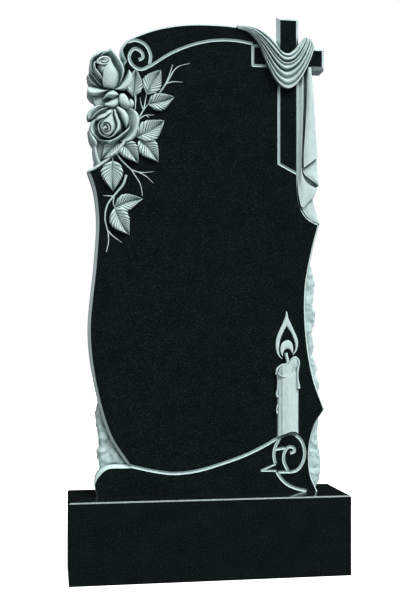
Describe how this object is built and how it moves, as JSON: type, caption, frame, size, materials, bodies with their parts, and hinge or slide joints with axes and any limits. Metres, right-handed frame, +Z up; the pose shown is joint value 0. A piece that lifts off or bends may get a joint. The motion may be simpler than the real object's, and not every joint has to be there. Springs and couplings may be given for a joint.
{
  "type": "headstone",
  "caption": "Upright headstone: a black stone stele with carved roses, draped cross, candle and scrolls, on a plain rectangular plinth.",
  "frame": {"origin": "centre of the plinth's underside", "axes": "+Z up, +X to the viewer's right, the carved front faces -Y"},
  "size_m": [0.7, 0.2, 1.414],
  "materials": {
    "polished_stone": "polished black gabbro with fine pale specks",
    "carved_stone": "black gabbro, polished on its face and pale grey where it is carved or split"
  },
  "bodies": {
    "root": {"plinth": "polished_stone", "stele": "carved_stone"}
  },
  "joints": []
}
